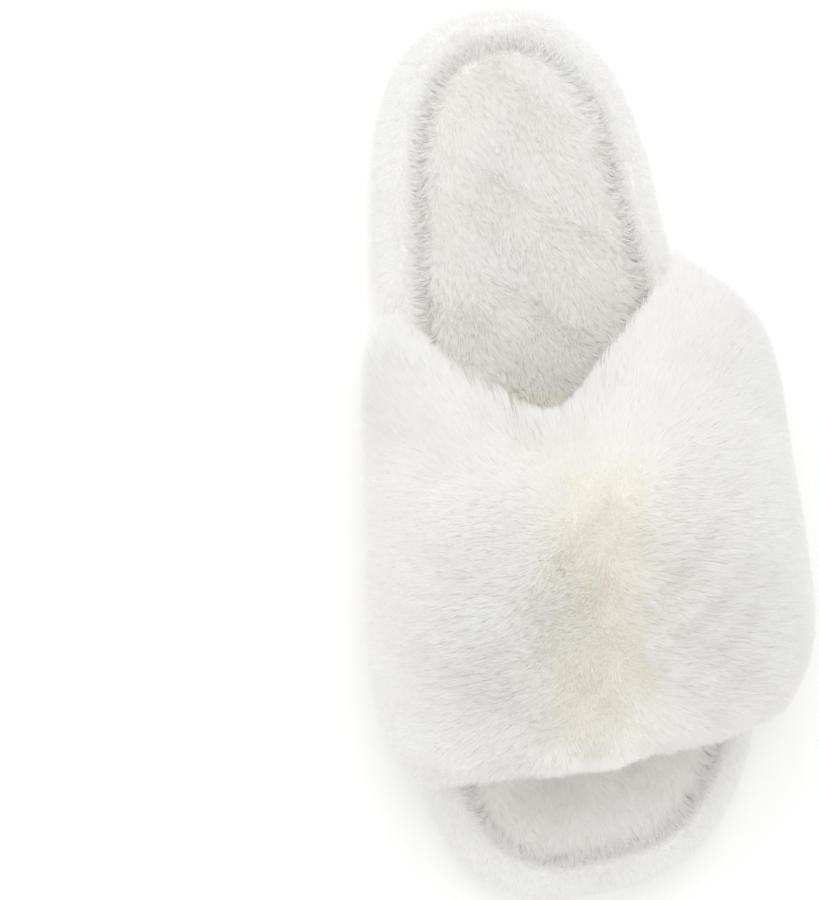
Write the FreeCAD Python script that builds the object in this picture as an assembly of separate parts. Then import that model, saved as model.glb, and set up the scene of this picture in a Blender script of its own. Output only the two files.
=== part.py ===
"""Fluffy open-toe house slipper for the left foot, one solid or group of solids per real piece.

Millimetres. The sole stands on z = 0, the toe points to -Y and the outer side of the foot to +X.
"""

import FreeCAD, Part
import math
import os
from FreeCAD import Vector

OUT = "parts"

# ---- Sole stack, from the floor up ----
LENGTH = 260.0
OUTSOLE = 3.0
SOLE_INSET = 1.6        # the outsole is this much smaller than the wrapped platform
MARGIN = 1.0            # folded-under edge of the side wrap, and the filler inside it
MIDSOLE = 7.2
BOARD = 1.2
BOARD_INSET = 0.8       # the board stops this far inside the side wrap's inner face
RIM_TOP = 17.6
SOCK_TOP = 18.8
PLUSH = 2.0             # short plush: knitted backing with its pile pressed down
GAP = 0.25              # air between pieces that touch along curved faces

MARGIN_TOP = OUTSOLE + MARGIN
MIDSOLE_TOP = MARGIN_TOP + MIDSOLE
BOARD_TOP = MIDSOLE_TOP + BOARD

# Footprint over the side wrap: (across, distance from the toe tip), inner side first, then the outer side.
FOOTPRINT = [
    (-1, 0.0), (-18, 2.0), (-31.5, 10.0), (-41, 25.0), (-47.5, 48), (-48.5, 75), (-46.5, 105),
    (-44.5, 140), (-43.5, 175), (-41.5, 208), (-35.5, 236), (-21, 254.5), (-2, LENGTH), (17, 255),
    (32.5, 237), (40, 209), (45, 175), (49.5, 140), (54, 108), (57.5, 80), (57.5, 57),
    (51, 32), (37, 11.5), (19, 2.5),
]
OUTLINE_SAMPLES = 56
CRUMB = 5.0             # cubic millimetres: smaller leftovers of a cut are dropped

# ---- Rim: the puffy roll that the side wrap makes around the insole ----
RIM_WIDEST = 9.0        # height of its widest level
RIM_CREST = 5.9         # distance of its highest line inside the footprint
SEAM = 10.2             # distance of the seam valley inside the footprint
VALLEY = 13.4           # height of the valley's bottom
FOLD = 2.0              # how far the wrap's folded-under edge reaches past the seam

# ---- Upper band: distances from the toe, and heights above the floor ----
LINING = 2.0
PADDING = 3.0
BACKING = 1.5           # knitted backing of the long fur
TAPE = 0.6              # stay tape on the band's two edges
TAPE_WIDTH = 8.0
ARCH_FOOT = 10.2        # distance of the lining's inner face inside the footprint
SLOT_CLEARANCE = 0.7    # beside the band's feet, which lean a little
CREST_SKEW = -7.0       # the band's crest leans to the inner side, as the instep does
ARCH_POWER = 2.3        # 2 is an ellipse, more is squarer
CREST = [(18, 27), (47, 37), (75, 48), (100, 56.5), (125, 61), (150, 58), (175, 50), (205, 38)]
FRONT_EDGE = [(-90, 44), (-40, 44), (-5, 48), (30, 50), (95, 53)]
THROAT_EDGE = [
    (-90, 172), (-46, 164), (-30, 149), (-9, 131), (11, 148), (25, 161), (44, 175), (95, 188),
]

# ---- Space that the long fur's pile fills ----
PILE_FOOT = 14.0        # height of its lowest edge
# Sections: distance from the toe, height, reach past the footprint's inner side and past its outer side.
PILE = [
    (24, 42, -8, -12), (27, 48, -2, -7), (34, 56, 4, -1), (46, 63.5, 8, 6), (57, 70, 9.5, 11.5),
    (70, 78, 10.5, 15), (86, 86.5, 11, 16), (103, 91.5, 11, 17), (120, 88, 11, 18.5),
    (134, 80, 11.5, 20.5), (149, 71, 10.5, 22), (161, 63, 8.5, 21), (172, 54, 5.5, 14.5),
    (180, 45, 1, 6.5), (190, 33, -4, 0),
]
PILE_OVER_THROAT = 11.0     # how far the pile hangs past the throat's edge

# ---- Tread ----
TREAD_DEPTH = 1.4
TREAD_PITCH = 7.0
TREAD_GROOVE = 2.6
TREAD_RIM = 7.0         # plain band around the grooves
WAIST = (112, 158)      # smooth waist between the front and heel grooves
GROOVE_LENGTHS = [(-44, -16), (-12, 20), (24, 54)]      # across the sole, with lands between them

# ---- Thread ----
THREAD = 0.45
STITCH = 3.2
STITCH_PITCH = 4.6
STITCH_FROM_EDGE = 3.0


def y_at(from_toe):
    return from_toe - LENGTH / 2


def closed_spline(points):
    curve = Part.BSplineCurve()
    curve.interpolate(Points=points, PeriodicFlag=True)
    return curve


FOOT_CURVE = closed_spline([Vector(x, y_at(t), 0) for x, t in FOOTPRINT])


def inset_points(inset, z=0.0, samples=OUTLINE_SAMPLES):
    """Points of the footprint moved inwards by inset, at height z."""
    first, last = FOOT_CURVE.FirstParameter, FOOT_CURVE.LastParameter
    middle = Vector(0, 0, 0)
    points = []
    for i in range(samples):
        u = first + (last - first) * i / samples
        at, along = FOOT_CURVE.value(u), FOOT_CURVE.tangent(u)[0]
        inward = Vector(-along.y, along.x, 0)
        if inward.dot(middle - at) < 0:
            inward = inward * -1
        points.append(at + inward * inset + Vector(0, 0, z))
    return points


def outline(inset, z=0.0):
    return Part.Wire(closed_spline(inset_points(inset, z)).toShape())


def prism(inset, low, high):
    """The footprint, moved inwards by inset, from height low to high."""
    return Part.Face(outline(inset, low)).extrude(Vector(0, 0, high - low))


def stack(levels):
    """A smooth solid through outlines given as (inset, height)."""
    return Part.makeLoft([outline(inset, z) for inset, z in levels], True, False)


def whole(shape):
    """The solid of a boolean result, without crumbs."""
    solids = [solid for solid in shape.Solids if solid.Volume > CRUMB]
    return solids[0] if len(solids) == 1 else Part.makeCompound(solids)


# ---------------------------------------------------------------- sole

def section_wire(parts):
    """A closed upright section at the start of the footprint.

    Parts are lists of (inset, height): two points make a line and more make a smooth curve.
    """
    start = FOOT_CURVE.FirstParameter
    at, along = FOOT_CURVE.value(start), FOOT_CURVE.tangent(start)[0]
    inward = Vector(-along.y, along.x, 0)
    if inward.dot(at) > 0:
        inward = inward * -1
    edges = []
    for part in parts:
        points = [at + inward * inset + Vector(0, 0, z) for inset, z in part]
        if len(points) == 2:
            edges.append(Part.makeLine(*points))
        else:
            curve = Part.BSplineCurve()
            curve.interpolate(points)
            edges.append(curve.toShape())
    return Part.Wire(edges)


def swept_round(parts):
    """The section carried once round the footprint, always upright."""
    sweep = Part.BRepOffsetAPI.MakePipeShell(outline(0.0))
    sweep.setBiNormalMode(Vector(0, 0, 1))
    sweep.add(section_wire(parts))
    sweep.build()
    sweep.makeSolid()
    return sweep.shape()


def roll_curve(skin, lowest=0.0):
    """Outer side from an angle up to the crest, and inner slope, both drawn in by skin."""
    top = RIM_TOP - skin
    outer, slope = [], []
    for i in range(4):
        a = math.radians(lowest + (90 - lowest) * i / 3)
        reach = RIM_CREST - skin
        outer.append((RIM_CREST - reach * math.cos(a), RIM_WIDEST + (top - RIM_WIDEST) * math.sin(a)))
        a = math.radians(90 * i / 3)
        reach = SEAM - skin - RIM_CREST
        slope.append((RIM_CREST + reach * math.sin(a), VALLEY + (top - VALLEY) * math.cos(a)))
    return outer, slope


def side_wrap(slot):
    """Plush strip round the side: folded under at the bottom, over the roll and down to the seam."""
    outer, slope = roll_curve(0.0)
    outer_in, slope_in = roll_curve(PLUSH)
    fold = SEAM + FOLD
    strip = swept_round([
        [(fold, OUTSOLE), (1.4, OUTSOLE)],
        [(1.4, OUTSOLE), (0.4, 0.5 * (OUTSOLE + RIM_WIDEST)), outer[0]],
        outer,
        slope,
        [slope[-1], (SEAM, BOARD_TOP)],
        [(SEAM, BOARD_TOP), (SEAM - PLUSH, BOARD_TOP)],
        [(SEAM - PLUSH, BOARD_TOP), slope_in[-1]],
        slope_in[::-1],
        outer_in[::-1],
        [outer_in[0], (PLUSH, MARGIN_TOP)],
        [(PLUSH, MARGIN_TOP), (fold, MARGIN_TOP)],
        [(fold, MARGIN_TOP), (fold, OUTSOLE)],
    ])
    return whole(strip.cut(slot))


def rim_foams(slot):
    """Soft filling of the roll round the toe and round the heel, standing on the board's edge."""
    lowest = math.degrees(math.asin((BOARD_TOP - RIM_WIDEST) / (RIM_TOP - PLUSH - RIM_WIDEST)))
    outer, slope = roll_curve(PLUSH, lowest)
    ring = swept_round([
        outer,
        slope,
        [slope[-1], (SEAM - PLUSH, BOARD_TOP)],
        [(SEAM - PLUSH, BOARD_TOP), outer[0]],
    ])
    rolls = [solid for solid in ring.cut(slot).Solids if solid.Volume > CRUMB]
    return sorted(rolls, key=lambda solid: solid.BoundBox.Center.y)


def outsole():
    """Moulded sole with a plain edge band and blind cross grooves."""
    base = prism(SOLE_INSET, 0.0, OUTSOLE)
    field = prism(SOLE_INSET + TREAD_RIM, -1.0, TREAD_DEPTH)
    bars = []
    t = TREAD_RIM + 5.0
    while t < LENGTH - TREAD_RIM - 5.0:
        if not WAIST[0] - TREAD_GROOVE < t < WAIST[1]:
            bars += groove_row(t)
        t += TREAD_PITCH
    return whole(base.cut(Part.makeCompound(bars).common(field)))


def groove_row(t):
    """One bent cross groove, in three lengths so that the lands between them stay joined."""
    bars = []
    for low, high in GROOVE_LENGTHS:
        bend = [Vector(x, y_at(t) + 0.12 * abs(x - 4), -1.0) for x in (low, 0.5 * (low + high), high)]
        back = [p + Vector(0, TREAD_GROOVE, 0) for p in reversed(bend)]
        face = Part.Face(Part.makePolygon(bend + back + bend[:1]))
        bars.append(face.extrude(Vector(0, 0, TREAD_DEPTH + 1.0)))
    return bars


def bottom_filler():
    return prism(SEAM + FOLD + GAP, OUTSOLE, MARGIN_TOP)


def midsole():
    return prism(PLUSH + GAP, MARGIN_TOP, MIDSOLE_TOP)


def insole_board():
    return prism(PLUSH + BOARD_INSET, MIDSOLE_TOP, BOARD_TOP)


def sock_body(skin):
    """The crowned insole top, drawn in by skin."""
    edge = SEAM + GAP
    height = SOCK_TOP - skin
    shoulder = height - 1.1 - BOARD_TOP
    levels = [(edge + skin, BOARD_TOP)]
    for degrees in (14, 34, 54, 72):
        a = math.radians(degrees)
        levels.append((edge + skin + 5.5 * (1 - math.cos(a)), BOARD_TOP + shoulder * math.sin(a)))
    levels += [(edge + skin + 9, height - 0.55), (edge + skin + 17, height)]
    return stack(levels)


def insole_foam():
    return whole(sock_body(PLUSH))


def insole_sock():
    return whole(sock_body(0.0).cut(sock_body(PLUSH)))


# ---------------------------------------------------------------- upper

def footprint_span(inset, y):
    """The lowest and highest x of an inset outline at y."""
    points = inset_points(inset, samples=240)
    crossings = []
    for a, b in zip(points, points[1:] + points[:1]):
        if (a.y - y) * (b.y - y) <= 0 and a.y != b.y:
            crossings.append(a.x + (b.x - a.x) * (y - a.y) / (b.y - a.y))
    return min(crossings), max(crossings)


def reading(table, x):
    """Linear reading of a table of (x, value)."""
    for (x0, v0), (x1, v1) in zip(table, table[1:]):
        if x <= x1:
            return v0 + (v1 - v0) * (x - x0) / (x1 - x0)
    return table[-1][1]


def arch_wire(t, low, high, foot_z, crest_z, skew):
    """A closed upright section at t: an arch from low to high, flat along the bottom."""
    y, middle, half = y_at(t), 0.5 * (low + high), 0.5 * (high - low)
    points = []
    for i in range(15):
        a = math.pi * i / 14
        c, s = math.cos(a), math.sin(a)
        x = middle + half * math.copysign(abs(c) ** (2 / ARCH_POWER), c) + skew * s * s
        points.append(Vector(x, y, foot_z + (crest_z - foot_z) * s ** (2 / ARCH_POWER)))
    curve = Part.BSplineCurve()
    curve.interpolate(points)
    return Part.Wire([curve.toShape(), Part.makeLine(points[-1], points[0])])


def band_body(skin):
    """Everything under the band's face that lies skin outside the lining's inner face."""
    wires = []
    for t, crest in CREST:
        low, high = footprint_span(ARCH_FOOT, y_at(t))
        wires.append(arch_wire(t, low - skin, high + skin, BOARD_TOP, crest + skin, CREST_SKEW))
    return Part.makeLoft(wires, True, False)


def plan_curve(points, shift):
    curve = Part.BSplineCurve()
    curve.interpolate([Vector(x, y_at(t + shift), 0) for x, t in points])
    return curve.toShape()


def region(front, front_shift, back, back_shift):
    """The upright prism between two edge curves of the band, each moved along the foot."""
    a, b = plan_curve(front, front_shift), plan_curve(back, back_shift)
    ends = [(edge.Vertexes[0].Point, edge.Vertexes[-1].Point) for edge in (a, b)]
    sides = [Part.makeLine(ends[0][i], ends[1][i]) for i in (0, 1)]
    wire = Part.Wire(Part.__sortEdges__([a, sides[1], b, sides[0]]))
    return Part.Face(wire).extrude(Vector(0, 0, 140))


def band_layer(inner, outer, zone):
    return band_body(outer).cut(band_body(inner)).common(zone)


def whole_band(inner, outer, margin=0.0):
    return whole(band_layer(inner, outer, region(FRONT_EDGE, -margin, THROAT_EDGE, margin)))


def stay_tape(zone):
    face = LINING + PADDING
    return whole(band_layer(face, face + TAPE, zone))


def pile_body():
    wires = []
    for t, crest, reach_in, reach_out in PILE:
        low, high = footprint_span(0.0, y_at(t))
        wires.append(arch_wire(t, low - reach_in, high + reach_out, PILE_FOOT, crest, 0.8 * CREST_SKEW))
    return Part.makeLoft(wires, True, False)


def fur_cover():
    """Long fur: its backing over the tapes, and the space that its pile fills."""
    face = LINING + PADDING + TAPE
    backing = whole_band(face, face + BACKING)
    pile = pile_body().common(region(FRONT_EDGE, -60, THROAT_EDGE, PILE_OVER_THROAT))
    pile = pile.cut(band_body(face + BACKING - 0.01)).cut(prism(-0.6, 0.0, SOCK_TOP + 0.6))
    return whole(backing.fuse(pile))


# ---------------------------------------------------------------- thread

def stitch(at, along):
    """One stitch: a short round bar along its seam."""
    along.normalize()
    return Part.makeCylinder(THREAD, STITCH, at - along * (STITCH / 2), along)


def stitch_row(points):
    """Stitches at an even pitch along a polyline of points."""
    stitches, left = [], STITCH_PITCH / 2
    for a, b in zip(points, points[1:]):
        step = b - a
        while left < step.Length:
            stitches.append(stitch(a + step * (left / step.Length), Vector(step)))
            left += STITCH_PITCH
        left -= step.Length
    return stitches


def beside_band(point):
    """Whether a point is in front of or behind the band's feet."""
    t, clear = point.y + LENGTH / 2, STITCH + GAP
    return not reading(FRONT_EDGE, point.x) - clear < t < reading(THROAT_EDGE, point.x) + clear


def sock_seam_stitches():
    """Thread in the valley between the side wrap and the insole, clear of the band's feet."""
    points = inset_points(SEAM - 0.2, VALLEY + 1.9, samples=180)
    rows = stitch_row(points + points[:1])
    return Part.makeCompound([s for s in rows if beside_band(s.BoundBox.Center)])


def edge_stitches(edge, shift):
    """Thread along one edge of the band, lying on the lining's inner face."""
    arch = max(band_body(-THREAD - 0.05).Faces, key=lambda face: face.Area)
    surface, (u0, u1, v0, v1) = arch.Surface, arch.ParameterRange
    points = []
    for i in range(61):
        u = u0 + (u1 - u0) * (0.06 + 0.88 * i / 60)
        low, high = v0, v1
        for _ in range(20):
            middle = 0.5 * (low + high)
            at = surface.value(u, middle)
            if at.y < y_at(reading(edge, at.x) + shift):
                low = middle
            else:
                high = middle
        points.append(at)
    return Part.makeCompound(stitch_row(points))


def foot_slots():
    """The two upright slots through the roll in which the band's feet stand on the board."""
    outer = ARCH_FOOT - LINING - PADDING - TAPE - BACKING - SLOT_CLEARANCE
    inner = ARCH_FOOT + SLOT_CLEARANCE
    ring = prism(outer, BOARD_TOP, RIM_TOP + 5).cut(prism(inner, BOARD_TOP - 1, RIM_TOP + 6))
    return ring.common(region(FRONT_EDGE, -GAP, THROAT_EDGE, GAP))


def build():
    slot = foot_slots()
    toe_foam, heel_foam = rim_foams(slot)
    return {
        "outsole": outsole(),
        "bottom_filler": bottom_filler(),
        "midsole": midsole(),
        "insole_board": insole_board(),
        "toe_rim_foam": toe_foam,
        "heel_rim_foam": heel_foam,
        "side_wrap": side_wrap(slot),
        "insole_foam": insole_foam(),
        "insole_sock": insole_sock(),
        "upper_lining": whole_band(0.0, LINING),
        "upper_padding": whole_band(LINING, LINING + PADDING),
        "front_stay_tape": stay_tape(region(FRONT_EDGE, 0, FRONT_EDGE, TAPE_WIDTH)),
        "throat_stay_tape": stay_tape(region(THROAT_EDGE, -TAPE_WIDTH, THROAT_EDGE, 0)),
        "fur_cover": fur_cover(),
        "sock_seam_stitches": sock_seam_stitches(),
        "front_edge_stitches": edge_stitches(FRONT_EDGE, STITCH_FROM_EDGE),
        "throat_edge_stitches": edge_stitches(THROAT_EDGE, -STITCH_FROM_EDGE),
    }


def centred(pieces):
    """The pieces moved so that the middle of their joint box stands on the origin."""
    box = Part.makeCompound(list(pieces.values())).optimalBoundingBox(False, False)
    home = Vector(-box.Center.x, -box.Center.y, -box.ZMin)
    return {name: shape.translated(home) for name, shape in pieces.items()}


def main():
    os.makedirs(OUT, exist_ok=True)
    for name, shape in centred(build()).items():
        shape.exportStep(os.path.join(OUT, name + ".step"))
        box = shape.optimalBoundingBox(False, False)
        print(f"{name:22s} solids {len(shape.Solids):3d}  valid {shape.isValid()}"
              f"  volume {shape.Volume / 1000:8.2f} cm3  x {box.XMin:6.1f} {box.XMax:6.1f}"
              f"  y {box.YMin:6.1f} {box.YMax:6.1f}  z {box.ZMin:6.2f} {box.ZMax:6.2f}")


main()
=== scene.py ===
"""Fluffy house slipper: pile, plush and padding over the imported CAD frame."""

import math

import bmesh
import bpy
import numpy as np
from mathutils import Matrix, Vector
from mathutils.bvhtree import BVHTree
from mathutils.kdtree import KDTree


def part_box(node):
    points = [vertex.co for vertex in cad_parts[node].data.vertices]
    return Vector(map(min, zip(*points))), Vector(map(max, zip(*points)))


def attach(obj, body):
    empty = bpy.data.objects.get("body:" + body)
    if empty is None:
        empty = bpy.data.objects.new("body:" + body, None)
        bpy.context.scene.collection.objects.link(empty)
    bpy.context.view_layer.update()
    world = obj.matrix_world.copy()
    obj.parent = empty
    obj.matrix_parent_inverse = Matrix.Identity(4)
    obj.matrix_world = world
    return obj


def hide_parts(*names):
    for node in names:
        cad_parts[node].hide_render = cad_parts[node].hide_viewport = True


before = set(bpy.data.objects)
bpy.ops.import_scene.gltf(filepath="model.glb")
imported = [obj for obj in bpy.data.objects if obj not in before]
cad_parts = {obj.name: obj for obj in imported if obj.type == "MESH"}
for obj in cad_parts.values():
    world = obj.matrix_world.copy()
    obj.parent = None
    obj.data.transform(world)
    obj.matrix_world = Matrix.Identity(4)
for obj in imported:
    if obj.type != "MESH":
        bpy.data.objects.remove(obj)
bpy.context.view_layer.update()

MM = 0.001

FUR_STRANDS = 200000
FUR_WIDTH = 0.20
FUR_LENGTH = 22.0
FRONT_FUR_LENGTH = 6.0  # on the band's front face
UNDERCOAT = 0.68        # share of the pile's depth that the undercoat fills
SOCK_STRANDS = 110000
WRAP_STRANDS = 100000
LINING_STRANDS = 26000
PLUSH_WIDTH = 0.18
SOCK_LENGTH = 5.2
WRAP_LENGTH = 3.4
LINING_LENGTH = 3.6
STRANDS_PER_PIECE = 38000
SEAM_TOP = 21.0         # the sock seam's longer pile grows below this height
SEAM_REACH = 9.0        # pile this near the sock's seam leans over it

# ---- The parting line on top of the band, where the pile points straight up (mm) ----
PARTING_FRONT = (-7.0, -71.0)
PARTING_BACK = (-6.4, -16.0)
PARTING_WANDER = 3.5
COMBED = 30.0           # the pile lies fully outwards this far from the parting
RUFFLED = 34.0          # and is ruffled about this far from it
# The pile carries painted cream shade about this far from the parting, where one looks deep into it.
PARTING_SHADE = 15.0             # and cream about this far from it
BAND_AXIS = 18.0        # height of the line that the band arches over


# ---------------------------------------------------------------- mesh helpers

def triangles(source):
    """Corners and smooth normals of the triangles of a CAD node, by name, or of a piece."""
    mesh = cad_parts[source].data if isinstance(source, str) else source.data
    mesh.calc_loop_triangles()
    points = np.empty(len(mesh.vertices) * 3)
    mesh.vertices.foreach_get("co", points)
    normals = np.empty(len(mesh.vertices) * 3)
    mesh.vertex_normals.foreach_get("vector", normals)
    corners = np.empty(len(mesh.loop_triangles) * 3, np.int32)
    mesh.loop_triangles.foreach_get("vertices", corners)
    corners = corners.reshape(-1, 3)
    return points.reshape(-1, 3)[corners], normals.reshape(-1, 3)[corners]


def unit(v):
    return v / np.maximum(np.linalg.norm(v, axis=-1, keepdims=True), 1e-12)


def scatter(rng, source, keep, count):
    """Random points, even by area, on the triangles of a node or piece that pass keep(middle, normal)."""
    corners, normals = triangles(source)
    cross = np.cross(corners[:, 1] - corners[:, 0], corners[:, 2] - corners[:, 0])
    area = np.linalg.norm(cross, axis=1)
    kept = keep(corners.mean(1) / MM, unit(cross)) & (area > 1e-14)
    corners, normals, area = corners[kept], normals[kept], area[kept]
    pick = rng.choice(len(area), count, p=area / area.sum())
    r = np.sqrt(rng.random(count))
    s = rng.random(count)
    weights = np.stack([1 - r, r * (1 - s), r * s], 1)[:, :, None]
    return (corners[pick] * weights).sum(1), unit((normals[pick] * weights).sum(1))


def tree_of(node):
    corners, _ = triangles(node)
    points = corners.reshape(-1, 3)
    faces = np.arange(len(points)).reshape(-1, 3)
    return BVHTree.FromPolygons(points.tolist(), faces.tolist())


def finish_piece(piece, replaced=()):
    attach(piece, "root")
    if replaced:
        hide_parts(*replaced)


def strand_mesh(name, root, middle, tip, width, across, colours, material):
    """Tapered ribbons, each along a curve from root to tip that is drawn toward middle."""
    n = len(root)
    steps = (0.0, 0.36, 0.72)
    verts = np.empty((n, 7, 3))
    # Per-vertex pile colour: red is the place along the strand, which the fibre materials turn into
    # painted shade toward the root; green is the tuft's random tone; blue is the strand's share of painted
    # cream shade.
    shade = np.ones((n, 7, 4))
    for k, s in enumerate(steps):
        at = (1 - s) ** 2 * root + 2 * s * (1 - s) * middle + s * s * tip
        side = across * (0.5 * width * (1 - 0.45 * s * s))[:, None]
        verts[:, 2 * k] = at - side
        verts[:, 2 * k + 1] = at + side
        shade[:, 2 * k:2 * k + 2, 0] = s
    verts[:, 6] = tip
    shade[:, 6, 0] = 1.0
    shade[:, :, 1] = colours[:, None, 0]
    shade[:, :, 2] = colours[:, None, 1]
    quads = np.array([[0, 1, 3, 2], [2, 3, 5, 4]])
    loops = np.concatenate([quads.ravel(), [4, 5, 6]])
    loops = (np.arange(n)[:, None] * 7 + loops[None]).ravel()
    starts = (np.arange(n)[:, None] * 11 + np.array([0, 4, 8])[None]).ravel()
    mesh = bpy.data.meshes.new(name)
    mesh.vertices.add(n * 7)
    mesh.vertices.foreach_set("co", verts.ravel())
    mesh.loops.add(len(loops))
    mesh.loops.foreach_set("vertex_index", loops)
    mesh.polygons.add(len(starts))
    mesh.polygons.foreach_set("loop_start", starts)
    mesh.update(calc_edges=True)
    mesh.polygons.foreach_set("use_smooth", np.ones(len(starts), bool))
    layer = mesh.color_attributes.new("pile", "FLOAT_COLOR", "POINT")
    layer.data.foreach_set("color", shade.ravel())
    mesh.materials.append(material)
    piece = bpy.data.objects.new(name, mesh)
    bpy.context.scene.collection.objects.link(piece)
    return piece


def lay_strands(name, material, order, root, middle, tip, width, across, colours):
    """The strands in the given order, as numbered pieces of at most STRANDS_PER_PIECE each."""
    for number, part in enumerate(np.array_split(order, math.ceil(len(order) / STRANDS_PER_PIECE))):
        piece = strand_mesh(
            f"{name}_{number + 1}", root[part], middle[part], tip[part],
            width[part], across[part], colours[part], material,
        )
        finish_piece(piece)


def clumped(rng, root, tip, every, pull):
    """Tips drawn together in tufts around every so many strands, and each strand's own tuft value."""
    centres = rng.choice(len(root), max(1, len(root) // every), replace=False)
    tree = KDTree(len(centres))
    for i, c in enumerate(centres):
        tree.insert(root[c], i)
    tree.balance()
    nearest = np.array([tree.find(p)[1] for p in root])
    force = np.clip(rng.normal(pull, 0.35 * pull, len(centres)), 0, 0.95)[nearest]
    tuft = rng.random(len(centres))[nearest]
    return tip + (tip[centres[nearest]] - tip) * force[:, None], tuft


def outerness(points, normals):
    """1 where a side faces outwards, 0 where it faces the middle of the slipper, as in the sock seam."""
    away = unit(points * np.array([1.0, 0.35, 0.0]))
    return smoothstep(0.5 + 0.9 * (away * normals).sum(1))


def off_axis(at, normal, middle):
    """1 where the band faces away from the line along its middle, -1 where it faces the foot."""
    away = np.stack([at[:, 0] - middle, np.zeros(len(at)), at[:, 2] - BAND_AXIS], 1)
    return (unit(away) * normal).sum(1)


def nearness(points, node, reach):
    """1 beside a CAD node, falling smoothly to 0 at reach from it."""
    corners, _ = triangles(node)
    edge = corners.reshape(-1, 3)[::5]
    tree = KDTree(len(edge))
    for i, place in enumerate(edge):
        tree.insert(place, i)
    tree.balance()
    distance = np.array([tree.find(place)[2] for place in points])
    return smoothstep(1 - distance / reach)


def toward_seam(points, neighbour):
    """A level pull toward the node across the sock's seam, gone SEAM_REACH away from it."""
    skin = tree_of(neighbour)
    away = np.array([skin.find_nearest(place)[0] for place in points]) - points
    away[:, 2] = 0
    distance = np.linalg.norm(away, axis=1)
    closeness = smoothstep(1 - distance / (SEAM_REACH * MM))
    return away / (distance + 0.5 * MM)[:, None] * closeness[:, None]


def across_of(rng, direction, lie, wander):
    """Each ribbon's width direction: flat on the surface, turned at random by wander radians."""
    flat = unit(np.cross(direction, lie + 1e-4))
    up = unit(np.cross(flat, direction))
    turn = rng.normal(0, wander, len(flat))[:, None]
    return flat * np.cos(turn) + up * np.sin(turn)


def swirl(root):
    """A slow wander of the pile's lie over the surface, in tufts about a centimetre across."""
    x, y, z = (root / MM).T
    a = np.sin(x / 4.3 + 1.7 * np.sin(y / 9.1)) + 0.7 * np.sin(x / 2.3 - y / 3.1 + 0.8)
    b = np.sin(y / 4.9 + 1.9 * np.sin(x / 7.7 + 0.6)) + 0.7 * np.sin(x / 3.4 + y / 2.6)
    return np.stack([a, b, 0.3 * np.sin(z / 3.0)], 1) * 0.6


def smoothstep(x):
    x = np.clip(x, 0, 1)
    return x * x * (3 - 2 * x)


# ---------------------------------------------------------------- materials

def new_material(name):
    material = bpy.data.materials.new(name)
    material.use_nodes = True
    tree = material.node_tree
    return material, tree, tree.nodes["Principled BSDF"]


def node(tree, kind, **values):
    made = tree.nodes.new(kind)
    for key, value in values.items():
        if hasattr(made, key):
            setattr(made, key, value)
        else:
            made.inputs[key.replace("_", " ")].default_value = value
    return made


def ramp(tree, source, stops):
    made = tree.nodes.new("ShaderNodeValToRGB")
    elements = made.color_ramp.elements
    while len(elements) < len(stops):
        elements.new(0.5)
    for element, (at, colour) in zip(elements, stops):
        element.position = at
        element.color = (*colour, 1)
    tree.links.new(source, made.inputs["Fac"])
    return made


def mix(tree, kind, factor, a, b):
    made = tree.nodes.new("ShaderNodeMix")
    made.data_type = "RGBA"
    made.blend_type = kind
    for socket, value in ((made.inputs[0], factor), (made.inputs[6], a), (made.inputs[7], b)):
        if isinstance(value, bpy.types.NodeSocket):
            tree.links.new(value, socket)
        else:
            socket.default_value = value
    return made.outputs[2]


def noise(tree, scale, detail=2.0, roughness=0.5):
    place = node(tree, "ShaderNodeTexCoord")
    made = node(tree, "ShaderNodeTexNoise", Scale=scale, Detail=detail, Roughness=roughness)
    tree.links.new(place.outputs["Object"], made.inputs["Vector"])
    return made.outputs["Fac"]


def pile_material(name, root, tip, cream_shade, roughness, soft):
    """Fibre: painted shade from a darker root to a white tip, tuft by tuft, with stretches of painted
    cream shade, and light passing through.
    """
    material, tree, shader = new_material(name)
    attribute = node(tree, "ShaderNodeAttribute", attribute_name="pile")
    parts = node(tree, "ShaderNodeSeparateColor")
    tree.links.new(attribute.outputs["Color"], parts.inputs["Color"])
    # Painted shade: the root colour is a little darker than the tip, and the cream colour is painted shade
    # deep in the pile or under the band.
    along = ramp(tree, parts.outputs["Red"], [(0.0, root), (0.8, tip)]).outputs["Color"]
    cream_shaded = ramp(tree, parts.outputs["Red"], [(0.1, cream_shade), (1.0, tip)]).outputs["Color"]
    colour = mix(tree, "MIX", parts.outputs["Blue"], along, cream_shaded)
    tuft = ramp(tree, parts.outputs["Green"], [(0.0, (0.985, 0.985, 0.984)), (1.0, (1, 1, 1))])
    colour = mix(tree, "MULTIPLY", 1.0, colour, tuft.outputs["Color"])
    cloud = ramp(tree, noise(tree, 45, 3), [(0.35, (0.995, 0.994, 0.991)), (0.65, (1, 1, 1))])
    colour = mix(tree, "MULTIPLY", 1.0, colour, cloud.outputs["Color"])
    tree.links.new(colour, shader.inputs["Base Color"])
    shader.inputs["Roughness"].default_value = roughness
    shader.inputs["Specular IOR Level"].default_value = 0.12
    shader.inputs["Sheen Weight"].default_value = 0.15
    shader.inputs["Sheen Roughness"].default_value = 0.4
    through = node(tree, "ShaderNodeBsdfTranslucent")
    tree.links.new(colour, through.inputs["Color"])
    both = node(tree, "ShaderNodeMixShader")
    both.inputs["Fac"].default_value = soft
    tree.links.new(shader.outputs["BSDF"], both.inputs[1])
    tree.links.new(through.outputs["BSDF"], both.inputs[2])
    tree.links.new(both.outputs["Shader"], tree.nodes["Material Output"].inputs["Surface"])
    return material


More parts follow.
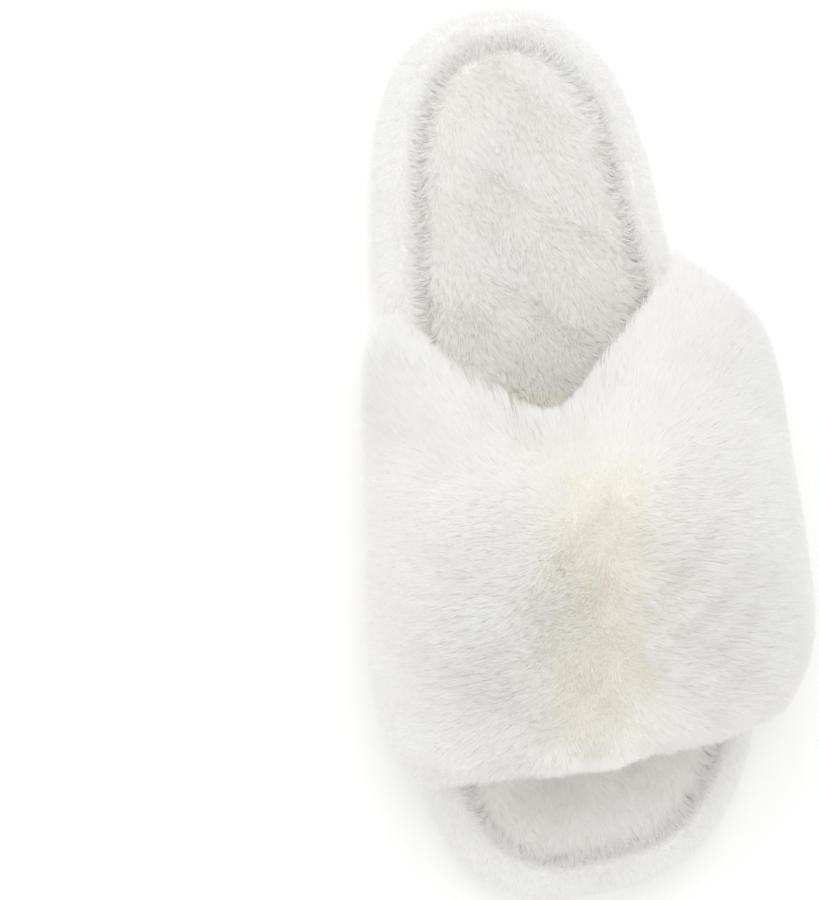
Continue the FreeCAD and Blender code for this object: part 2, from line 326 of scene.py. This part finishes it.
def ground_material(name, low, high, scale, bump):
    """The knitted ground that the pile grows from: mottled, with a fine knit."""
    material, tree, shader = new_material(name)
    colour = ramp(tree, noise(tree, scale, 4, 0.6), [(0.3, low), (0.7, high)]).outputs["Color"]
    tree.links.new(colour, shader.inputs["Base Color"])
    place = node(tree, "ShaderNodeTexCoord")
    knit = node(tree, "ShaderNodeTexVoronoi", Scale=900)
    tree.links.new(place.outputs["Object"], knit.inputs["Vector"])
    raised = node(tree, "ShaderNodeBump", Strength=bump, Distance=0.0006)
    tree.links.new(knit.outputs["Distance"], raised.inputs["Height"])
    tree.links.new(raised.outputs["Normal"], shader.inputs["Normal"])
    shader.inputs["Roughness"].default_value = 0.95
    shader.inputs["Specular IOR Level"].default_value = 0.1
    shader.inputs["Sheen Weight"].default_value = 0.3
    return material


def foam_material(name, low, high, pore):
    material, tree, shader = new_material(name)
    colour = ramp(tree, noise(tree, 60, 3), [(0.35, low), (0.65, high)]).outputs["Color"]
    tree.links.new(colour, shader.inputs["Base Color"])
    place = node(tree, "ShaderNodeTexCoord")
    cells = node(tree, "ShaderNodeTexVoronoi", Scale=pore)
    tree.links.new(place.outputs["Object"], cells.inputs["Vector"])
    raised = node(tree, "ShaderNodeBump", Strength=0.5, Distance=0.0004)
    tree.links.new(cells.outputs["Distance"], raised.inputs["Height"])
    tree.links.new(raised.outputs["Normal"], shader.inputs["Normal"])
    shader.inputs["Roughness"].default_value = 0.85
    return material


def rubber_material():
    """Moulded sole: fine grain, and random patches of a little dust, darker and rougher, between lighter,
    smoother places.
    """
    material, tree, shader = new_material("sole_rubber")
    grain = noise(tree, 2200, 3, 0.6)
    dust = noise(tree, 28, 4, 0.6)
    colour = ramp(tree, dust, [(0.3, (0.74, 0.71, 0.65)), (0.7, (0.84, 0.82, 0.77))]).outputs["Color"]
    tree.links.new(colour, shader.inputs["Base Color"])
    rough = ramp(tree, dust, [(0.3, (0.72, 0.72, 0.72)), (0.7, (0.5, 0.5, 0.5))]).outputs["Color"]
    tree.links.new(rough, shader.inputs["Roughness"])
    raised = node(tree, "ShaderNodeBump", Strength=0.35, Distance=0.0002)
    tree.links.new(grain, raised.inputs["Height"])
    tree.links.new(raised.outputs["Normal"], shader.inputs["Normal"])
    return material


def woven_material(name, low, high, pitch):
    """Plain weave or twisted thread from two crossed sets of ribs."""
    material, tree, shader = new_material(name)
    place = node(tree, "ShaderNodeTexCoord")
    ribs = []
    for direction in ("X", "Y"):
        wave = node(tree, "ShaderNodeTexWave", bands_direction=direction, Scale=pitch, Distortion=0.6)
        tree.links.new(place.outputs["Object"], wave.inputs["Vector"])
        ribs.append(wave.outputs["Fac"])
    weave = node(tree, "ShaderNodeMath", operation="MULTIPLY")
    tree.links.new(ribs[0], weave.inputs[0])
    tree.links.new(ribs[1], weave.inputs[1])
    colour = ramp(tree, weave.outputs[0], [(0.0, low), (0.8, high)]).outputs["Color"]
    tree.links.new(colour, shader.inputs["Base Color"])
    raised = node(tree, "ShaderNodeBump", Strength=0.5, Distance=0.0003)
    tree.links.new(weave.outputs[0], raised.inputs["Height"])
    tree.links.new(raised.outputs["Normal"], shader.inputs["Normal"])
    shader.inputs["Roughness"].default_value = 0.8
    return material


# Each fibre's root colour, a little darker than its tip, and its cream colour are painted shade deep in
# the pile; the sock's strong cream colour is painted shade under the band.
FUR = pile_material(
    "long_fur_fibre", root=(0.993, 0.991, 0.986), tip=(0.997, 0.997, 0.996), cream_shade=(0.993, 0.981, 0.950),
    roughness=0.6, soft=0.5,
)
PLUSH = pile_material(
    "short_plush_fibre", root=(0.979, 0.978, 0.974), tip=(0.988, 0.988, 0.987), cream_shade=(0.98, 0.965, 0.93),
    roughness=0.65, soft=0.45,
)
SOCK = pile_material(
    "sock_plush_fibre", root=(0.985, 0.984, 0.980), tip=(0.993, 0.993, 0.991), cream_shade=(0.990, 0.948, 0.840),
    roughness=0.65, soft=0.45,
)
FUR_GROUND = ground_material("fur_ground", (0.965, 0.95, 0.915), (0.98, 0.972, 0.95), 70, 0.6)
SOCK_GROUND = ground_material("sock_ground", (0.96, 0.955, 0.94), (0.975, 0.973, 0.965), 90, 0.5)
PLUSH_GROUND = ground_material("plush_ground", (0.965, 0.96, 0.95), (0.98, 0.978, 0.972), 90, 0.5)


def dress_cad_nodes():
    """Better materials for the CAD nodes that stay."""
    foam = foam_material("open_foam", (0.82, 0.78, 0.66), (0.92, 0.89, 0.80), 900)
    dense_foam = foam_material("closed_foam", (0.86, 0.85, 0.82), (0.93, 0.92, 0.90), 1500)
    board = foam_material("pressed_fibre", (0.56, 0.47, 0.36), (0.70, 0.61, 0.49), 500)
    tape = woven_material("woven_tape", (0.78, 0.77, 0.74), (0.93, 0.93, 0.91), 900)
    thread = woven_material("twisted_thread", (0.80, 0.78, 0.73), (0.95, 0.94, 0.92), 700)
    worn = {
        "outsole": rubber_material(),
        "bottom_filler": foam,
        "midsole": dense_foam,
        "insole_board": board,
        "toe_rim_foam": foam,
        "heel_rim_foam": foam,
        "insole_foam": foam,
        "upper_padding": foam,
        "front_stay_tape": tape,
        "throat_stay_tape": tape,
        "sock_seam_stitches": thread,
        "front_edge_stitches": thread,
        "throat_edge_stitches": thread,
    }
    for name, material in worn.items():
        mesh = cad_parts[name].data
        mesh.materials.clear()
        mesh.materials.append(material)


# ---------------------------------------------------------------- soft grounds

def apply_modifiers(piece):
    graph = bpy.context.evaluated_depsgraph_get()
    mesh = bpy.data.meshes.new_from_object(piece.evaluated_get(graph))
    old = piece.data
    piece.modifiers.clear()
    piece.data = mesh
    bpy.data.meshes.remove(old)


def remeshed(name, nodes, voxel, material):
    """One closed skin round some CAD nodes."""
    gathered = bmesh.new()
    for source in nodes:
        gathered.from_mesh(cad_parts[source].data)
    mesh = bpy.data.meshes.new(name)
    gathered.to_mesh(mesh)
    gathered.free()
    piece = bpy.data.objects.new(name, mesh)
    bpy.context.scene.collection.objects.link(piece)
    skin = piece.modifiers.new("skin", "REMESH")
    skin.mode = "VOXEL"
    skin.voxel_size = voxel
    smooth = piece.modifiers.new("smooth", "SMOOTH")
    smooth.factor = 0.5
    smooth.iterations = 4
    apply_modifiers(piece)
    piece.data.materials.clear()
    piece.data.materials.append(material)
    piece.data.polygons.foreach_set("use_smooth", np.ones(len(piece.data.polygons), bool))
    return piece


def vertex_arrays(mesh):
    points = np.empty(len(mesh.vertices) * 3)
    normals = np.empty(len(mesh.vertices) * 3)
    mesh.vertices.foreach_get("co", points)
    mesh.vertex_normals.foreach_get("vector", normals)
    return points.reshape(-1, 3), normals.reshape(-1, 3)


def pushed(piece, distance):
    """The piece's skin moved along its normals by distance (a number or one per vertex), in metres."""
    points, normals = vertex_arrays(piece.data)
    points += normals * np.reshape(distance, (-1, 1))
    piece.data.vertices.foreach_set("co", points.ravel())
    piece.data.update()


def puffed(piece, pressure, cap):
    """A short cloth run that swells the pad between its seams, each point moving no more than cap."""
    before, _ = vertex_arrays(piece.data)
    cloth = piece.modifiers.new("puff", "CLOTH")
    cloth.settings.use_pressure = True
    cloth.settings.uniform_pressure_force = pressure
    cloth.settings.effector_weights.gravity = 0.0
    cloth.settings.quality = 5
    cloth.settings.tension_stiffness = 25
    cloth.settings.bending_stiffness = 2
    scene = bpy.context.scene
    for number in range(1, 21):
        scene.frame_set(number)
    apply_modifiers(piece)
    after, _ = vertex_arrays(piece.data)
    moved = after - before
    length = np.linalg.norm(moved, axis=1, keepdims=True)
    moved *= np.minimum(1.0, cap / np.maximum(length, 1e-9))
    piece.data.vertices.foreach_set("co", (before + moved).ravel())
    piece.data.update()
    scene.frame_set(1)


# ---------------------------------------------------------------- pile

def from_parting(root):
    """How far each place lies, level, from the nearest place on the wandering parting line."""
    front = np.array(PARTING_FRONT) * MM
    along = np.array(PARTING_BACK) * MM - front
    flat = root[:, :2] + PARTING_WANDER * MM * swirl(root)[:, :2]
    share = np.clip((flat - front) @ along / (along @ along), 0, 1)
    return flat - (front + share[:, None] * along)


def long_fur(undercoat):
    """The band's pile: up from the parting line, combed outwards to every edge, trimmed to a soft dome."""
    rng = np.random.default_rng(11)
    low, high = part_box("upper_padding")
    middle = 0.5 * (low.x + high.x) / MM

    def outer(at, normal):
        turned = off_axis(at, normal, middle)
        return (turned > 0.45) | ((turned > -0.15) & (np.abs(normal[:, 1]) > 0.5))

    root, normal = scatter(rng, undercoat, outer, FUR_STRANDS)
    root = root - normal * 0.8 * MM

    off = from_parting(root)
    distance = np.linalg.norm(off, axis=1)
    spread = smoothstep(distance / (COMBED * MM))
    outward = np.zeros_like(root)
    outward[:, :2] = off / (distance + 4 * MM)[:, None]
    upright = np.array([0, 0, 1.0])
    base = unit(normal * 0.55 + upright * 0.45)
    steep = 1 - np.clip(normal[:, 2], 0, 1)
    direction = base + outward * (0.46 + 0.60 * spread)[:, None]
    direction = direction - upright * (0.75 * steep * spread)[:, None]
    ruffled = np.exp(-(distance / (RUFFLED * MM)) ** 2)[:, None]
    direction = unit(direction) + swirl(root) * (0.06 + 0.16 * ruffled)
    direction = unit(direction + rng.normal(0, 0.09, root.shape))

    direction[:, 1] += nearness(root, "throat_stay_tape", 20 * MM)
    front_face = smoothstep(-2 * normal[:, 1])
    direction[:, 1] -= (0.7 - 0.5 * front_face) * nearness(root, "front_stay_tape", 16 * MM)
    direction = unit(direction)

    full_length = FUR_LENGTH + (FRONT_FUR_LENGTH - FUR_LENGTH) * front_face
    length = full_length * MM * rng.normal(1.0, 0.07, len(root))
    length = length[:, None]
    tip = root + direction * length
    tip, tuft = clumped(rng, root, tip, 26, 0.18)

    envelope = tree_of("fur_cover")
    reach = tip - root
    length = np.linalg.norm(reach, axis=1)
    heading = reach / length[:, None]
    start = root + heading * 0.6 * MM
    trim = rng.normal(0.985, 0.03, len(root))
    inside = np.ones(len(root), bool)
    for i in range(len(root)):
        hit = envelope.ray_cast(start[i], heading[i])
        if hit[0] is None or hit[1].dot(heading[i]) < 0:
            inside[i] = False
        else:
            length[i] = min(length[i], (hit[3] + 0.6 * MM) * trim[i])
    length = np.maximum(length, 3 * MM)
    tip = root + heading * length[:, None]
    middle_point = root + (0.55 * heading + 0.45 * unit(normal + 0.2 * upright)) * (0.5 * length)[:, None]
    middle_point += rng.normal(0, 0.035, root.shape) * length[:, None]

    # Painted cream shade: strongest at the parting, where one looks down the hairs deep into the pile, and
    # less toward the toe.
    cream_shade = np.exp(-(distance / (PARTING_SHADE * MM)) ** 2) * 0.9 + 0.1
    cream_shade *= smoothstep((root[:, 1] / MM + 95) / 20) * 0.75 + 0.25
    across = across_of(rng, heading, normal, 0.35)
    width = FUR_WIDTH * MM * rng.uniform(0.7, 1.25, len(root))
    colours = np.stack([np.clip(0.5 * tuft + 0.5 * rng.random(len(root)), 0, 1), cream_shade], 1)

    order = np.argsort(np.arctan2(root[:, 2] - BAND_AXIS * MM, root[:, 0] - middle * MM))
    order = order[inside[order]]
    lay_strands("long_fur", FUR, order, root, middle_point, tip, width, across, colours)


def plush(name, material, rng, root, normal, lean, length, per_tuft, pull, cream_shade, neighbour=None):
    """Short dense pile leaning one way, in small tufts, that rises out of any seam it grows in.

    Each strand is given its share of the material's cream colour, which is painted shade. The pile leans
    over the sock's seam toward neighbour, where that is given.
    """
    inward = (1 - np.clip(normal[:, 2], 0, 1)) * (1 - outerness(root, normal))
    rise = np.zeros_like(root)
    rise[:, 2] = 0.9 * inward
    if neighbour:
        over = toward_seam(root, neighbour)
        lean = lean * (1 - np.linalg.norm(over, axis=1, keepdims=True)) + 0.9 * over
    direction = unit(normal + lean + rise + 0.12 * swirl(root) + rng.normal(0, 0.18, root.shape))
    in_seam = inward * smoothstep((SEAM_TOP - root[:, 2] / MM) / 3)
    size = length * MM * (1 + 0.45 * in_seam) * rng.uniform(0.75, 1.15, len(root))
    size = size[:, None]
    tip = root + direction * size
    tip, tuft = clumped(rng, root, tip, per_tuft, pull)
    reach = tip - root
    heading = unit(reach)
    middle_point = root + 0.45 * reach + normal * 0.18 * size + rng.normal(0, 0.06, root.shape) * size
    across = across_of(rng, heading, normal, 0.4)
    width = PLUSH_WIDTH * MM * rng.uniform(0.7, 1.3, len(root))
    colours = np.stack([np.clip(0.7 * tuft + 0.3 * rng.random(len(root)), 0, 1), cream_shade], 1)
    order = np.argsort(root[:, 1])
    lay_strands(name, material, order, root, middle_point, tip, width, across, colours)


def sock_plush(cushion):
    """The cushion's pile, combed toward the toe, with painted cream shade under the band."""
    rng = np.random.default_rng(23)
    root, normal = scatter(rng, cushion, lambda at, n: (n[:, 2] > -0.2) & (at[:, 2] > 12.5), SOCK_STRANDS)
    root = root - normal * 0.2 * MM
    lean = np.array([0.1, -0.75, 0.0]) + 0.35 * swirl(root)
    # Painted cream shade under the band, where the band shades the cushion.
    shaded_by_band = smoothstep((24 - root[:, 1] / MM) / 30) * smoothstep((root[:, 1] / MM + 80) / 30)
    cream_shade = 0.05 + 0.9 * shaded_by_band
    plush(
        "sock_plush", SOCK, rng, root, normal, lean, SOCK_LENGTH,
        per_tuft=18, pull=0.34, cream_shade=cream_shade, neighbour="side_wrap",
    )


def wrap_plush(wrap):
    """The wrap's pile, on its side and over its crest, but not on its folded-under edge."""
    rng = np.random.default_rng(37)

    def outside(at, normal):
        side = (outerness(at, normal) > 0.6) & (normal[:, 2] > -0.5)
        crest = (normal[:, 2] > -0.2) & (at[:, 2] > 12.9)
        return (at[:, 2] > 3.3) & (side | crest)

    root, normal = scatter(rng, wrap, outside, WRAP_STRANDS)
    root = root - normal * 0.3 * MM
    radial = np.zeros_like(root)
    radial[:, :2] = unit(root[:, :2])
    lean = np.array([0.0, -0.6, -0.55]) + radial * 0.1
    # A little painted cream shade in every fibre.
    cream_shade = np.full(len(root), 0.06)
    plush(
        "wrap_plush", PLUSH, rng, root, normal, lean, WRAP_LENGTH,
        per_tuft=16, pull=0.22, cream_shade=cream_shade, neighbour="insole_sock",
    )


def lining_plush():
    """The pile on the side of the band's lining that faces the foot."""
    rng = np.random.default_rng(41)
    low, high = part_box("upper_lining")
    middle = 0.5 * (low.x + high.x) / MM

    def inner(at, normal):
        return (off_axis(at, normal, middle) < -0.4) & (at[:, 2] > 16)

    root, normal = scatter(rng, "upper_lining", inner, LINING_STRANDS)
    root = root - normal * 0.4 * MM
    lean = np.array([0.0, 0.5, -0.2]) + np.zeros_like(root)
    # Half of each fibre's painted cream shade, inside the band where it lies in shade.
    cream_shade = np.full(len(root), 0.5)
    plush(
        "lining_plush", PLUSH, rng, root, normal, lean, LINING_LENGTH,
        per_tuft=18, pull=0.4, cream_shade=cream_shade,
    )


def fur_undercoat():
    """Backing and the dense woolly undercoat, which fills part of the depth below the long hairs."""
    band = remeshed("fur_undercoat", ["upper_padding"], 1.5 * MM, FUR_GROUND)
    envelope = tree_of("fur_cover")
    points, normals = vertex_arrays(band.data)
    depth = np.full(len(points), 2.1 * MM)
    distance = np.linalg.norm(from_parting(points), axis=1)
    share = UNDERCOAT + 0.15 * np.exp(-(distance / (20 * MM)) ** 2)
    for i, (place, normal) in enumerate(zip(points, normals)):
        hit = envelope.ray_cast(place + normal * 2.2 * MM, normal)
        if hit[0] is not None and hit[1].dot(normal) > 0:
            depth[i] += share[i] * hit[3]
    pushed(band, evened(band.data, depth, 6))
    finish_piece(band, ["fur_cover"])
    return band


def evened(mesh, values, rounds):
    """A value per vertex, averaged with its neighbours."""
    edges = np.empty(len(mesh.edges) * 2, np.int32)
    mesh.edges.foreach_get("vertices", edges)
    a, b = edges.reshape(-1, 2).T
    count = np.bincount(a, minlength=len(values)) + np.bincount(b, minlength=len(values))
    for _ in range(rounds):
        total = np.bincount(a, values[b], len(values)) + np.bincount(b, values[a], len(values))
        values = 0.5 * values + 0.5 * total / np.maximum(count, 1)
    return values


def build_slipper():
    """The grounds first, because the pile grows from them."""
    dress_cad_nodes()
    undercoat = fur_undercoat()

    lining = remeshed("band_lining", ["upper_lining"], 1.2 * MM, PLUSH_GROUND)
    finish_piece(lining, ["upper_lining"])

    wrap = remeshed("wrap_ground", ["side_wrap", "toe_rim_foam", "heel_rim_foam"], 1.1 * MM, PLUSH_GROUND)
    points, normals = vertex_arrays(wrap.data)
    lumps = 0.25 * (1 - swirl(0.45 * points)[:, 0])
    pushed(wrap, (0.4 - (1.6 + lumps) * outerness(points, normals)) * MM)
    finish_piece(wrap, ["side_wrap"])

    cushion = remeshed("insole_cushion", ["insole_sock", "insole_foam"], 2.5 * MM, SOCK_GROUND)
    _, normals = vertex_arrays(cushion.data)
    pushed(cushion, (0.5 - 2.4 * np.clip(normals[:, 2], 0, 1)) * MM)
    puffed(cushion, 4.0, 1.6 * MM)
    finish_piece(cushion, ["insole_sock"])

    long_fur(undercoat)
    sock_plush(cushion)
    wrap_plush(wrap)
    lining_plush()


# ---------------------------------------------------------------- stage

def make_stage():
    """Plain pale floor, a large soft light over the heel end and a white surround."""
    edge = 12.0
    corners = [(-edge, -edge, 0), (edge, -edge, 0), (edge, edge, 0), (-edge, edge, 0)]
    mesh = bpy.data.meshes.new("floor")
    mesh.from_pydata(corners, [], [(0, 1, 2, 3)])
    floor = bpy.data.objects.new("floor", mesh)
    bpy.context.scene.collection.objects.link(floor)
    material, _, shader = new_material("floor_paper")
    shader.inputs["Base Color"].default_value = (0.93, 0.93, 0.93, 1)
    shader.inputs["Roughness"].default_value = 0.9
    shader.inputs["Specular IOR Level"].default_value = 0.1
    shader.inputs["Emission Color"].default_value = (1, 1, 1, 1)
    shader.inputs["Emission Strength"].default_value = 0.14
    mesh.materials.append(material)

    world = bpy.data.worlds.new("surround")
    world.use_nodes = True
    world.node_tree.nodes["Background"].inputs["Color"].default_value = (1.0, 1.0, 1.0, 1)
    world.node_tree.nodes["Background"].inputs["Strength"].default_value = 0.96
    bpy.context.scene.world = world

    light = bpy.data.lights.new("key", "AREA")
    light.shape = "DISK"
    light.size = 0.9
    light.energy = 3.2
    lamp = bpy.data.objects.new("key", light)
    lamp.location = (-0.14, 0.60, 1.00)
    aim = Vector((0, 0, 0.03)) - lamp.location
    lamp.rotation_euler = aim.to_track_quat("-Z", "Y").to_euler()
    bpy.context.scene.collection.objects.link(lamp)

    cycles = bpy.context.scene.cycles
    cycles.max_bounces = 24
    cycles.diffuse_bounces = 20
    cycles.transmission_bounces = 20

    settings = bpy.context.scene.view_settings
    settings.view_transform = "Standard"
    settings.look = "None"
    settings.exposure = -0.16


def make_camera():
    """Above the slipper, a little to its inner side, with the heel toward the top of the picture."""
    lean = math.radians(10.0)
    turn = math.radians(5.7)
    distance = 1.2
    x_axis = Vector((math.cos(lean), 0, math.sin(lean)))
    y_axis = Vector((0, 1, 0))
    right = x_axis * math.cos(turn) - y_axis * math.sin(turn)
    up = x_axis * math.sin(turn) + y_axis * math.cos(turn)
    back = right.cross(up)
    frame_height = 0.2614
    middle = Vector((0, 0, 0.017)) - right * 0.0465 - up * 0.0007
    camera = bpy.data.cameras.new("camera")
    camera.sensor_width = 36.0
    camera.lens = 36.0 * distance / frame_height
    view = bpy.data.objects.new("camera", camera)
    turned = Matrix((right, up, back)).transposed().to_4x4()
    view.matrix_world = Matrix.Translation(middle + back * distance) @ turned
    bpy.context.scene.collection.objects.link(view)
    bpy.context.scene.camera = view


build_slipper()
make_stage()
make_camera()
